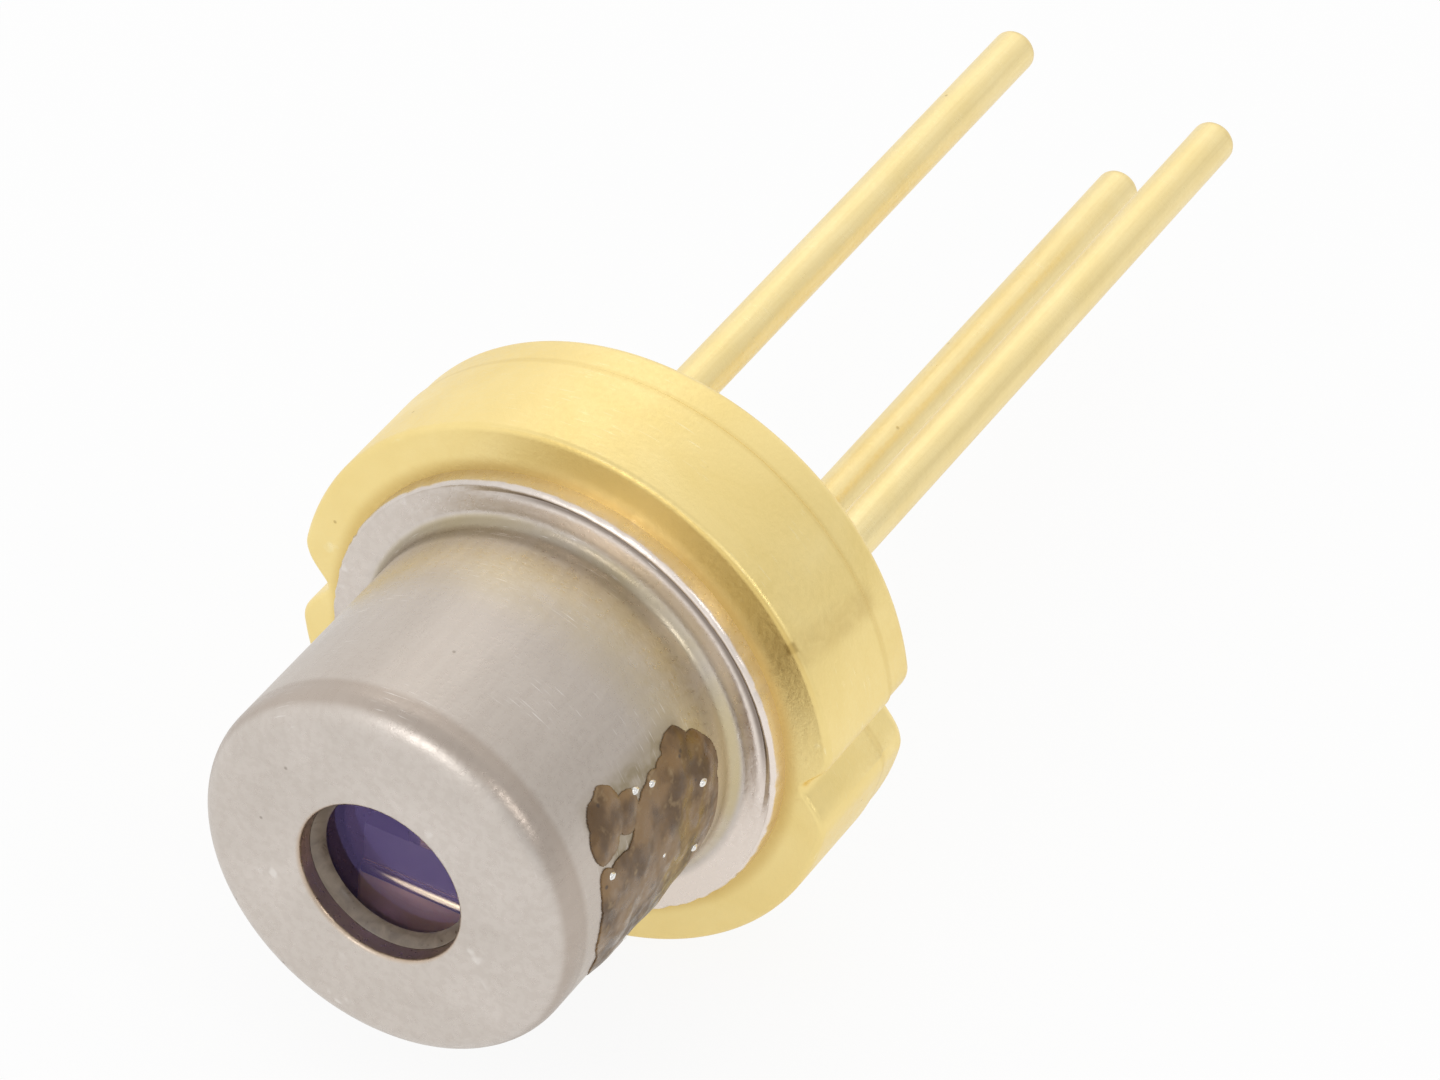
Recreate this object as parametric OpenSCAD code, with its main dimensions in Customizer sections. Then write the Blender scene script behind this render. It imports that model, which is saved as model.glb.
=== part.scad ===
// Laser diode in a 3.8 mm round metal can, with three leads.
//
// Every sub-part is drawn upright, with the beam along +Z and the stem's front
// face at z = 0, and then laid on its rim: the beam points along -Y, the leads
// along +Y, and the key notch is underneath.

/* [Stem] */
// Diameter of the stem disc
stem_d = 3.8; // [3.6:0.1:4.4]
// Thickness of the stem disc
stem_t = 1.06; // [0.9:0.02:1.4]
// Length of the rim that has the full diameter, from the front face
rim_len = 0.76; // [0.6:0.02:0.84]
// Depth of the sheared step behind the full rim
rim_step = 0.015; // [0.005:0.005:0.04]
// Radius of the stem's front edge
front_edge_r = 0.04; // [0.02:0.01:0.08]
// Radius of the stem's back edge
back_edge_r = 0.08; // [0.04:0.01:0.12]

/* [Notches] */
// Width of a V notch at the rim
notch_w = 0.50; // [0.3:0.02:0.6]
// Depth of a V notch
notch_depth = 0.19; // [0.14:0.01:0.22]
// Radius at the bottom of a V notch
notch_root_r = 0.07; // [0.03:0.01:0.1]
// Width of the square key notch
key_w = 0.60; // [0.4:0.02:0.8]
// Depth of the square key notch
key_depth = 0.22; // [0.14:0.01:0.24]

/* [Cap] */
// Outer diameter of the cap's barrel
cap_d = 2.58; // [2.5:0.02:2.7]
// Height of the cap above the stem
cap_h = 2.145; // [2:0.005:2.5]
// Thickness of the cap's barrel wall
cap_wall = 0.15; // [0.1:0.01:0.18]
// Thickness of the cap's front face
cap_face_t = 0.19; // [0.12:0.01:0.24]
// Outer radius of the cap's front corner
cap_corner_r = 0.19; // [0.15:0.01:0.3]
// Diameter of the aperture in the cap's face
aperture_d = 1.12; // [0.9:0.02:1.3]
// Radius of the aperture's front edge
aperture_edge_r = 0.03; // [0.01:0.005:0.05]
// Diameter of the welding flange
flange_d = 3.16; // [3.0:0.02:3.3]
// Thickness of the welding flange
flange_t = 0.13; // [0.08:0.01:0.2]
// Radius of the flange's outer edge
flange_edge_r = 0.05; // [0.02:0.01:0.07]
// Fillet radius between the flange and the barrel
flange_fillet_r = 0.09; // [0.04:0.01:0.14]

/* [Window] */
// Diameter of the window glass
window_d = 1.86; // [1.6:0.02:1.96]
// Thickness of the window glass
window_t = 0.25; // [0.15:0.01:0.3]
// Thickness of the solder glass between the window and the cap's face
frit_t = 0.03; // [0.02:0.005:0.06]
// How far the solder glass shows inside the aperture
frit_bead_w = 0.06; // [0.03:0.01:0.1]
// Width of the solder glass outside the window's edge
frit_skirt_w = 0.07; // [0.03:0.01:0.09]
// How far the solder glass runs back along the window's edge
frit_skirt_h = 0.14; // [0.05:0.01:0.2]

/* [Leads] */
// Diameter of a lead
lead_d = 0.30; // [0.25:0.01:0.4]
// Length of the leads behind the stem
lead_len = 6.3; // [4:0.1:9]
// Radius of the circle through the leads' centres
lead_circle_r = 0.77; // [0.74:0.01:0.8]
// Edge radius at a lead's tip
lead_tip_r = 0.06; // [0.02:0.01:0.1]
// Clock angle of the laser lead, from +X towards the top
laser_lead_angle = 176; // [172:1:186]
// Clock angle of the monitor lead
monitor_lead_angle = -5; // [-10:1:6]
// Clock angle of the common lead
common_lead_angle = -82; // [-98:1:-78]
// Height of the laser lead's post inside the cap
laser_post_h = 1.30; // [1.2:0.02:1.5]
// Height of the monitor lead's post inside the cap
monitor_post_h = 0.42; // [0.3:0.02:0.6]
// Depth of the flat on the laser lead's post
post_flat_depth = 0.06; // [0.04:0.01:0.1]
// Length of the flat on the laser lead's post
post_flat_len = 0.36; // [0.26:0.02:0.5]
// Diameter of a glass lead seal
seal_d = 0.56; // [0.5:0.02:0.6]
// Diameter of the common lead's head
head_d = 0.48; // [0.42:0.02:0.56]
// Thickness of the common lead's head
head_t = 0.07; // [0.04:0.01:0.12]

/* [Laser] */
// Height of the heat sink block above the stem
sink_h = 1.50; // [1.44:0.02:1.6]
// Width of the heat sink block
sink_w = 0.90; // [0.8:0.02:0.92]
// Radius of the heat sink's round back
sink_back_r = 0.98; // [0.8:0.02:1.0]
// Bevel along the heat sink's front top edge
sink_bevel = 0.025; // [0.01:0.005:0.04]
// Ledge of the heat sink in front of the submount
sink_ledge = 0.06; // [0.04:0.01:0.1]
// Length of the submount along the beam
submount_len = 0.78; // [0.74:0.02:0.86]
// Width of the submount
submount_w = 0.86; // [0.7:0.02:0.88]
// Thickness of the submount
submount_t = 0.27; // [0.15:0.01:0.3]
// Length of the laser chip along the beam
chip_len = 0.70; // [0.6:0.02:0.76]
// Width of the laser chip
chip_w = 0.24; // [0.16:0.02:0.3]
// Thickness of the laser chip
chip_t = 0.12; // [0.09:0.01:0.16]
// How far the chip's front facet overhangs the submount
chip_overhang = 0.01; // [0:0.005:0.02]
// Thickness of each solder or braze layer
solder_t = 0.015; // [0.01:0.005:0.03]

/* [Monitor photodiode] */
// Side of the square photodiode
photodiode_w = 0.46; // [0.36:0.02:0.5]
// Thickness of the photodiode
photodiode_t = 0.20; // [0.12:0.01:0.26]
// Distance of the photodiode's centre above the axis
photodiode_y = 0.14; // [0.1:0.01:0.2]

/* [Bond wires] */
// Diameter of a bond wire
wire_d = 0.036; // [0.03:0.002:0.04]
// Diameter of the foot at a wire's end
foot_d = 0.09; // [0.07:0.005:0.1]
// Height of the foot at a wire's end
foot_h = 0.04; // [0.038:0.002:0.05]
// Rise of a wire's arc over its chord, as a share of the chord
wire_rise = 0.24; // [0.15:0.01:0.35]

/* [Hidden] */
$fn = 64;
// Overshoot of a cut beyond the face that it leaves
cut = 0.5;

stem_r = stem_d / 2;
back_r = stem_r - rim_step;

barrel_r = cap_d / 2;
bore_r = barrel_r - cap_wall;
inner_corner_r = max(cap_corner_r - cap_wall, 0.02);
aperture_r = aperture_d / 2;
flange_r = flange_d / 2;

// Planes along the beam, from the cap's face inwards
face_inside_z = cap_h - cap_face_t;
window_front_z = face_inside_z - frit_t;
window_back_z = window_front_z - window_t;
window_r = window_d / 2;

lead_r = lead_d / 2;
seal_r = seal_d / 2;
laser_lead_at = lead_circle_r * [cos(laser_lead_angle), sin(laser_lead_angle)];
monitor_lead_at = lead_circle_r * [cos(monitor_lead_angle), sin(monitor_lead_angle)];
common_lead_at = lead_circle_r * [cos(common_lead_angle), sin(common_lead_angle)];
tip_z = -stem_t - lead_len;
post_flat_y = laser_lead_at.y + lead_r - post_flat_depth;

// The chip's top face is on the axis, so the faces below it stack down from there
chip_base_y = -chip_t;
submount_top_y = chip_base_y - solder_t;
submount_base_y = submount_top_y - submount_t;
sink_face_y = submount_base_y - solder_t;
submount_front_z = sink_h - sink_ledge;
submount_back_z = submount_front_z - submount_len;
chip_front_z = submount_front_z + chip_overhang;
chip_back_z = chip_front_z - chip_len;
photodiode_top_z = solder_t + photodiode_t;

// Places of the wires' feet
wire_r = wire_d / 2;
chip_wire_z = laser_post_h - post_flat_len / 2;
submount_wire_x = (submount_w + chip_w) / 4;
submount_wire_z = submount_back_z + foot_d;
sink_wire_z = submount_back_z - 3 * foot_d;
photodiode_wire_at = [photodiode_w / 4, photodiode_y];

// Lays an upright shape on its rim: +Z turns to -Y, and +Y turns up.
module laid() {
    rotate([90, 0, 0]) children();
}

// Half section of a disc from z0 up to z1, with a rounded upper outer edge.
module disc_section(r, z0, z1, edge_r) {
    translate([0, z0]) square([r, z1 - z0 - edge_r]);
    translate([0, z0]) square([r - edge_r, z1 - z0]);
    translate([r - edge_r, z1 - edge_r]) circle(edge_r);
}

// Solid of revolution about the beam axis, upright.
module revolved() {
    rotate_extrude() children();
}

// Round bar about the z axis from z0 up to z1, with a rounded lower end.
module bar(r, z0, z1, tip_r) {
    revolved() intersection() {
        mirror([0, 1]) disc_section(r, -z1, -z0, tip_r);
        translate([0, z0]) square([r, z1 - z0]);
    }
}

// Flat disc from z = 0 up to t, with a fully rounded rim of diameter d.
module round_edged_disc(d, t) {
    revolved() {
        square([(d - t) / 2, t]);
        translate([(d - t) / 2, t / 2]) intersection() {
            circle(t / 2);
            translate([0, -t]) square(2 * t);
        }
    }
}

// Outline of a V notch with a round root, open towards +X at radius r.
module v_notch_outline(r, w, depth, root_r) {
    root_x = r - depth + root_r;
    to_mouth = [r - root_x, w / 2];
    mouth_angle = atan2(to_mouth.y, to_mouth.x);
    tangent_angle = mouth_angle + acos(root_r / norm(to_mouth));
    tangent = [root_x, 0] + root_r * [cos(tangent_angle), sin(tangent_angle)];
    mouth = [r, w / 2];
    beyond = mouth + (mouth - tangent) / 2;
    translate([root_x, 0]) circle(root_r);
    polygon([tangent, beyond, [beyond.x, -beyond.y], [tangent.x, -tangent.y]]);
}

// Wire in the xy plane from a to b, on pads that face +Y, with a foot on each pad.
module bond_wire(a, b) {
    start = a + [0, foot_h / 2];
    end = b + [0, foot_h / 2];
    chord = end - start;
    rise = wire_rise * norm(chord);
    bend_r = (norm(chord) ^ 2 / 4 + rise ^ 2) / (2 * rise);
    up = [-chord.y, chord.x] / norm(chord);
    centre = (start + end) / 2 - up * (bend_r - rise);
    from_angle = atan2(end.y - centre.y, end.x - centre.x);
    to_angle = atan2(start.y - centre.y, start.x - centre.x);
    translate(centre) rotate(from_angle)
        rotate_extrude(angle = to_angle - from_angle) translate([bend_r, 0]) circle(wire_r);
    for (pad = [a, b])
        translate(pad) rotate([-90, 0, 0]) cylinder(h = foot_h, d = foot_d);
}

module stem() {
    color("goldenrod") laid() difference() {
        union() {
            revolved() disc_section(stem_r, -rim_len, 0, front_edge_r);
            revolved() mirror([0, 1]) disc_section(back_r, rim_len, stem_t, back_edge_r);
        }
        for (side = [0, 180])
            rotate(side) translate([0, 0, -stem_t - cut]) linear_extrude(stem_t + 2 * cut)
                v_notch_outline(stem_r, notch_w, notch_depth, notch_root_r);
        translate([-key_w / 2, -stem_r - cut, -stem_t - cut])
            cube([key_w, key_depth + cut, stem_t + 2 * cut]);
        for (at = [laser_lead_at, monitor_lead_at])
            translate([at.x, at.y, -stem_t - cut]) cylinder(h = stem_t + 2 * cut, r = seal_r);
    }
}

module cap() {
    color("silver") laid() revolved() difference() {
        union() {
            disc_section(barrel_r, 0, cap_h, cap_corner_r);
            disc_section(flange_r, 0, flange_t, flange_edge_r);
            difference() {
                square([barrel_r + flange_fillet_r, flange_t + flange_fillet_r]);
                translate([barrel_r + flange_fillet_r, flange_t + flange_fillet_r])
                    circle(flange_fillet_r);
            }
        }
        disc_section(bore_r, -cut, face_inside_z, inner_corner_r);
        translate([0, -cut]) square([bore_r, cut + flange_t]);
        aperture_section();
    }
}

// Half section of the aperture, flared by a round at its front edge.
module aperture_section() {
    square([aperture_r, cap_h + cut]);
    difference() {
        translate([0, cap_h - aperture_edge_r])
            square([aperture_r + aperture_edge_r, aperture_edge_r + cut]);
        translate([aperture_r + aperture_edge_r, cap_h - aperture_edge_r]) circle(aperture_edge_r);
    }
}

module window() {
    color("slateblue", 0.5) laid()
        translate([0, 0, window_back_z]) cylinder(h = window_t, r = window_r);
}

module window_frit() {
    color("dimgray") laid() revolved() {
        // Flat ring between the glass and the cap's face
        translate([aperture_r - frit_bead_w, window_front_z])
            square([window_r + frit_bead_w - aperture_r, frit_t]);
        // Bead that climbs the aperture's wall
        difference() {
            translate([aperture_r - frit_bead_w, face_inside_z]) square(frit_bead_w);
            translate([aperture_r - frit_bead_w, face_inside_z + frit_bead_w]) circle(frit_bead_w);
        }
        // Skirt round the glass's edge
        translate([window_r, face_inside_z - frit_skirt_h]) square([frit_skirt_w, frit_skirt_h]);
    }
}

module laser_lead() {
    color("gold") laid() difference() {
        translate(laser_lead_at) bar(lead_r, tip_z, laser_post_h, lead_tip_r);
        translate([laser_lead_at.x - lead_d, post_flat_y, laser_post_h - post_flat_len])
            cube([2 * lead_d, lead_d, post_flat_len + cut]);
    }
}

module monitor_lead() {
    color("gold") laid() translate(monitor_lead_at)
        bar(lead_r, tip_z, monitor_post_h, lead_tip_r);
}

module common_lead() {
    head_back_z = -stem_t - solder_t;
    color("gold") laid() translate(common_lead_at) {
        bar(lead_r, tip_z, head_back_z, lead_tip_r);
        translate([0, 0, head_back_z - head_t]) round_edged_disc(head_d, head_t);
    }
}

// Glass bead between an insulated lead and the stem.
module lead_seal(at) {
    translate([at.x, at.y, -stem_t]) difference() {
        cylinder(h = stem_t, r = seal_r);
        translate([0, 0, -cut]) cylinder(h = stem_t + 2 * cut, r = lead_r);
    }
}

module laser_lead_seal() {
    color("darkslategray") laid() lead_seal(laser_lead_at);
}

module monitor_lead_seal() {
    color("darkslategray") laid() lead_seal(monitor_lead_at);
}

module common_lead_braze() {
    color("khaki") laid() translate([common_lead_at.x, common_lead_at.y, -stem_t - solder_t])
        round_edged_disc(head_d + 2 * solder_t, solder_t);
}

// Outline of the heat sink across the beam: a flat face, two sides and a round back.
module sink_outline() {
    intersection() {
        circle(sink_back_r);
        translate([-sink_w / 2, -sink_back_r]) square([sink_w, sink_back_r + sink_face_y]);
    }
}

module heat_sink() {
    color("peru") laid() difference() {
        translate([0, 0, solder_t]) linear_extrude(sink_h - solder_t) sink_outline();
        translate([-sink_w, sink_face_y, sink_h]) rotate([0, 90, 0])
            linear_extrude(2 * sink_w) polygon([[0, -sink_bevel], [sink_bevel, 0], [-cut, cut]]);
    }
}

module heat_sink_braze() {
    color("khaki") laid() linear_extrude(solder_t) sink_outline();
}

module submount() {
    color("lightsteelblue") laid() translate([-submount_w / 2, submount_base_y, submount_back_z])
        cube([submount_w, submount_t, submount_len]);
}

module submount_solder() {
    color("lightgray") laid() translate([-submount_w / 2, sink_face_y, submount_back_z])
        cube([submount_w, solder_t, submount_len]);
}

module laser_chip() {
    color("darkgoldenrod") laid() translate([-chip_w / 2, chip_base_y, chip_back_z])
        cube([chip_w, chip_t, chip_len]);
}

module chip_solder() {
    color("lightgray") laid() translate([-chip_w / 2, submount_top_y, chip_back_z])
        cube([chip_w, solder_t, chip_len - chip_overhang]);
}

module monitor_photodiode() {
    color("midnightblue") laid()
        translate([-photodiode_w / 2, photodiode_y - photodiode_w / 2, solder_t])
            cube([photodiode_w, photodiode_w, photodiode_t]);
}

module photodiode_solder() {
    color("lightgray") laid()
        translate([-photodiode_w / 2, photodiode_y - photodiode_w / 2, 0])
            cube([photodiode_w, photodiode_w, solder_t]);
}

module chip_wire() {
    color("gold") laid() translate([0, 0, chip_wire_z])
        bond_wire([laser_lead_at.x, post_flat_y], [0, 0]);
}

module submount_wire() {
    color("gold") laid() translate([submount_wire_x, 0, 0]) rotate([0, -90, 0])
        bond_wire([sink_wire_z, sink_face_y], [submount_wire_z, submount_top_y]);
}

module photodiode_wire() {
    run = monitor_lead_at - photodiode_wire_at;
    color("gold") laid() translate(photodiode_wire_at) rotate([90, 0, atan2(run.y, run.x)])
        bond_wire([0, photodiode_top_z], [norm(run), monitor_post_h]);
}

stem();
cap();
window();
window_frit();
laser_lead();
monitor_lead();
common_lead();
laser_lead_seal();
monitor_lead_seal();
common_lead_braze();
heat_sink();
heat_sink_braze();
submount();
submount_solder();
laser_chip();
chip_solder();
monitor_photodiode();
photodiode_solder();
chip_wire();
submount_wire();
photodiode_wire();
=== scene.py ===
"""Looks of a laser diode in a 3.8 mm round metal can, lying on its rim.

The beam leaves along -Y, the leads run along +Y and +Z is up. Sizes are in millimetres
until they are multiplied by MM.
"""

import math

import bpy
from mathutils import Matrix, Vector, noise


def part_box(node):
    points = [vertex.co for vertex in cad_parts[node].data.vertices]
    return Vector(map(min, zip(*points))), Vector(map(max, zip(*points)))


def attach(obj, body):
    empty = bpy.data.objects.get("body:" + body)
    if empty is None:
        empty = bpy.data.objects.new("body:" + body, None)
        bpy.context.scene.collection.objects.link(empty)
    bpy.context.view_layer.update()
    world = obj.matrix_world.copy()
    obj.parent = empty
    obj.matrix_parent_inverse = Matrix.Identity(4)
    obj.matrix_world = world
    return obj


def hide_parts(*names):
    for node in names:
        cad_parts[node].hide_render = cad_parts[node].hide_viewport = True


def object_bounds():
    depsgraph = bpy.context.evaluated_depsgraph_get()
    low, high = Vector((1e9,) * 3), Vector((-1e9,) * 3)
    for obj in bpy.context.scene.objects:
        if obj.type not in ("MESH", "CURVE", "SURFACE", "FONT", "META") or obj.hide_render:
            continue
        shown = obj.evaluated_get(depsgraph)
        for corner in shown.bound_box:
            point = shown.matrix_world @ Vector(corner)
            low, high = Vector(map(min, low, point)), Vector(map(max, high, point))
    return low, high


MM = 0.001
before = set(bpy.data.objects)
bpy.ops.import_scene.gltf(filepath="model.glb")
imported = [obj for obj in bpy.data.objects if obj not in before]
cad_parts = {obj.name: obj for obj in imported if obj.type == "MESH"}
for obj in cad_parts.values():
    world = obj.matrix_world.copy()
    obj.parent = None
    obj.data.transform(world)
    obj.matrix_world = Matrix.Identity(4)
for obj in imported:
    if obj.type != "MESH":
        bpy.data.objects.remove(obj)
cad_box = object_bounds()

# --- Sizes of the pieces, in millimetres -------------------------------------------------

STEM_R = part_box("stem")[1].z / MM
STEM_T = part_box("stem")[1].y / MM
RIM_LEN = 0.76
RIM_STEP = 0.015
NOTCH_W = 0.50
NOTCH_DEPTH = 0.19
NOTCH_ROOT_R = 0.09
KEY_W = 0.60
KEY_DEPTH = 0.22

CAP_H = -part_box("cap")[0].y / MM
BARREL_R = 1.29
CAP_WALL = 0.15
CAP_FACE_T = 0.19
CAP_CORNER_R = 0.19
APERTURE_R = 0.56
FLANGE_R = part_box("cap")[1].x / MM
FLANGE_T = 0.13

WINDOW_FRONT = -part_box("window")[0].y / MM
WINDOW_BACK = -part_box("window")[1].y / MM
WINDOW_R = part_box("window")[1].x / MM
FRIT_BEAD_W = 0.06

LEAD_R = 0.15
HEAD_R = 0.24
HEAD_T = 0.07
SEAL_R = 0.28
POST_FLAT_DEPTH = 0.06
POST_FLAT_LEN = 0.36
LEAD_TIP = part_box("laser_lead")[1].y / MM

SMOOTH_ANGLE = math.radians(32)


# --- Modelling helpers -------------------------------------------------------------------

def clear_selection():
    if bpy.context.object and bpy.context.object.mode != "OBJECT":
        bpy.ops.object.mode_set(mode="OBJECT")
    bpy.ops.object.select_all(action="DESELECT")


def finish_piece(piece, name, smooth=True):
    """Bakes the place into the mesh, sets the name and smooths across soft angles."""
    clear_selection()
    piece.name = name
    piece.data.name = name
    piece.select_set(True)
    bpy.context.view_layer.objects.active = piece
    bpy.ops.object.transform_apply(location=True, rotation=True, scale=True)
    bpy.ops.object.mode_set(mode="EDIT")
    bpy.ops.mesh.select_all(action="SELECT")
    bpy.ops.mesh.remove_doubles(threshold=0.0004 * MM)
    bpy.ops.mesh.normals_make_consistent(inside=False)
    bpy.ops.object.mode_set(mode="OBJECT")
    if smooth:
        bpy.ops.object.shade_smooth_by_angle(angle=SMOOTH_ANGLE)
    piece.select_set(False)
    return piece


def select_ring(piece, y, radius, centre=(0, 0), slack=0.004):
    """Selects the edges of the ring at a place along Y and a radius about a centre."""
    bpy.ops.mesh.select_all(action="DESELECT")
    bpy.ops.object.mode_set(mode="OBJECT")
    mesh = piece.data
    to_world = piece.matrix_world
    near = set()
    for vertex in mesh.vertices:
        at = to_world @ vertex.co / MM
        off = math.hypot(at.x - centre[0], at.z - centre[1]) - radius
        if abs(at.y - y) < slack and abs(off) < slack:
            near.add(vertex.index)
    for edge in mesh.edges:
        edge.select = edge.vertices[0] in near and edge.vertices[1] in near
    bpy.ops.object.mode_set(mode="EDIT")
    bpy.ops.mesh.select_mode(type="EDGE")


def draw_rings(rings, segments, centre=(0, 0)):
    """Draws a tube about the beam by extruding a circle through (y, radius) rings."""
    clear_selection()
    y, radius = rings[0]
    bpy.ops.mesh.primitive_circle_add(
        vertices=segments, radius=radius * MM, fill_type="NOTHING",
        location=(centre[0] * MM, y * MM, centre[1] * MM), rotation=(math.pi / 2, 0, 0),
        enter_editmode=True)
    for next_y, next_radius in rings[1:]:
        bpy.ops.mesh.extrude_edges_move(
            TRANSFORM_OT_translate={"value": (0, (next_y - y) * MM, 0)})
        bpy.ops.transform.resize(
            value=(next_radius / radius, 1, next_radius / radius),
            center_override=(centre[0] * MM, next_y * MM, centre[1] * MM))
        y, radius = next_y, next_radius
    return bpy.context.object


def close_end(piece, y, radius, centre=(0, 0)):
    """Fills the ring at an end of a tube with a flat face."""
    select_ring(piece, y, radius, centre)
    bpy.ops.mesh.edge_face_add()


def round_ring(piece, y, radius, bevel, steps, centre=(0, 0)):
    """Rounds the corner at a ring."""
    select_ring(piece, y, radius, centre)
    bpy.ops.mesh.bevel(offset=bevel * MM, segments=steps, affect="EDGES")


def weld(piece):
    bpy.ops.mesh.select_all(action="SELECT")
    bpy.ops.mesh.remove_doubles(threshold=0.0004 * MM)


def cut_away(piece, cutter):
    """Takes the cutter's volume out of a piece, and deletes the cutter."""
    clear_selection()
    piece.select_set(True)
    bpy.context.view_layer.objects.active = piece
    cut = piece.modifiers.new("cut", "BOOLEAN")
    cut.operation = "DIFFERENCE"
    cut.solver = "EXACT"
    cut.object = cutter
    bpy.ops.object.modifier_apply(modifier=cut.name)
    clear_selection()
    cutter.select_set(True)
    bpy.ops.object.delete()


def drill(piece, centre, radius):
    """Drills a round hole along the beam, right through."""
    clear_selection()
    bpy.ops.mesh.primitive_cylinder_add(
        vertices=96, radius=radius * MM, depth=4 * STEM_T * MM,
        location=(centre[0] * MM, STEM_T / 2 * MM, centre[1] * MM),
        rotation=(math.pi / 2, 0, 0))
    cut_away(piece, bpy.context.object)


def lead_centre(node):
    """Where a lead's axis crosses a plane across the beam."""
    low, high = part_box(node)
    return (low.x + high.x) / 2 / MM, (low.z + high.z) / 2 / MM


# --- Stem --------------------------------------------------------------------------------

RIM_POINTS = 900
MOUTH_ROUND = 0.10
FRONT_EDGE_R = 0.045
BACK_EDGE_R = 0.08


def v_notch_depth(across):
    """Depth of a V notch with a round root, at a distance across from its middle."""
    root_centre = NOTCH_DEPTH - NOTCH_ROOT_R
    half = NOTCH_W / 2
    # Slope of the flank that runs from the mouth and touches the root's circle
    a = half ** 2 - NOTCH_ROOT_R ** 2
    b = -2 * half * root_centre
    c = root_centre ** 2 - NOTCH_ROOT_R ** 2
    slope = (-b + math.sqrt(b * b - 4 * a * c)) / (2 * a)
    touch = NOTCH_ROOT_R * slope / math.hypot(1, slope)
    if across < touch:
        return root_centre + math.sqrt(NOTCH_ROOT_R ** 2 - across ** 2)
    return slope * (half - across)


def soft_min(a, b, blend):
    """The smaller of two lengths, with the corner between them rounded."""
    near = max(blend - abs(a - b), 0) / blend
    return min(a, b) - near * near * blend / 4


def dent_notches(ring):
    """Pushes a rim's points in to the two V notches and the square key notch."""
    for vertex in ring.data.vertices:
        at = ring.matrix_world @ vertex.co / MM
        if abs(at.z) < NOTCH_W:
            rim = abs(at.x)
            at.x = math.copysign(
                soft_min(rim, STEM_R - v_notch_depth(abs(at.z)), MOUTH_ROUND), at.x)
        spacing = 2 * math.pi * STEM_R / RIM_POINTS
        if at.z < 0 and abs(at.x) < KEY_W / 2 + spacing:
            inside = abs(at.x) < KEY_W / 2
            if abs(abs(at.x) - KEY_W / 2) < spacing:
                at.x = math.copysign(KEY_W / 2, at.x)
            if inside:
                at.z = KEY_DEPTH - STEM_R
        vertex.co = ring.matrix_world.inverted() @ (at * MM)


def edge_arc(y, radius, bevel, steps, towards):
    """Rings of a rounded outer edge whose face is at y; the side lies on the +towards side."""
    rings = []
    for i in range(steps + 1):
        turn = math.pi / 2 * i / steps
        rings.append((y + towards * bevel * (1 - math.cos(turn)),
                      radius - bevel * (1 - math.sin(turn))))
    return rings


def make_stem():
    back_r = STEM_R - RIM_STEP
    step_len = 0.02
    rings = edge_arc(0, STEM_R, FRONT_EDGE_R, 5, 1)
    rings += [(RIM_LEN, STEM_R), (RIM_LEN + step_len, back_r)]
    rings += reversed(edge_arc(STEM_T, back_r, BACK_EDGE_R, 6, -1))
    clear_selection()
    bpy.ops.mesh.primitive_circle_add(
        vertices=RIM_POINTS, radius=STEM_R * MM, fill_type="NOTHING",
        rotation=(math.pi / 2, 0, 0))
    stem = bpy.context.object
    dent_notches(stem)
    bpy.ops.object.mode_set(mode="EDIT")
    bpy.ops.mesh.select_all(action="SELECT")
    y, radius = rings[0]
    bpy.ops.transform.resize(value=(radius / STEM_R, 1, radius / STEM_R),
                             center_override=(0, 0, 0))
    bpy.ops.mesh.edge_face_add()
    for next_y, next_radius in rings[1:]:
        scale = next_radius / radius
        bpy.ops.mesh.extrude_edges_move(
            TRANSFORM_OT_translate={"value": (0, (next_y - y) * MM, 0)})
        bpy.ops.transform.resize(value=(scale, 1, scale), center_override=(0, next_y * MM, 0))
        y, radius = next_y, next_radius
    bpy.ops.mesh.edge_face_add()
    piece = finish_piece(stem, "gilded_stem", smooth=False)
    for node in ("laser_lead", "monitor_lead"):
        drill(piece, lead_centre(node), SEAL_R)
    clear_selection()
    piece.select_set(True)
    bpy.context.view_layer.objects.active = piece
    bpy.ops.object.shade_smooth_by_angle(angle=SMOOTH_ANGLE)
    return piece


# --- Cap ---------------------------------------------------------------------------------

TURN_POINTS = 256
FLANGE_GROOVE_R = 1.512
FLANGE_GROOVE_DEPTH = 0.028
FLANGE_BURR_R = 1.55


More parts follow.
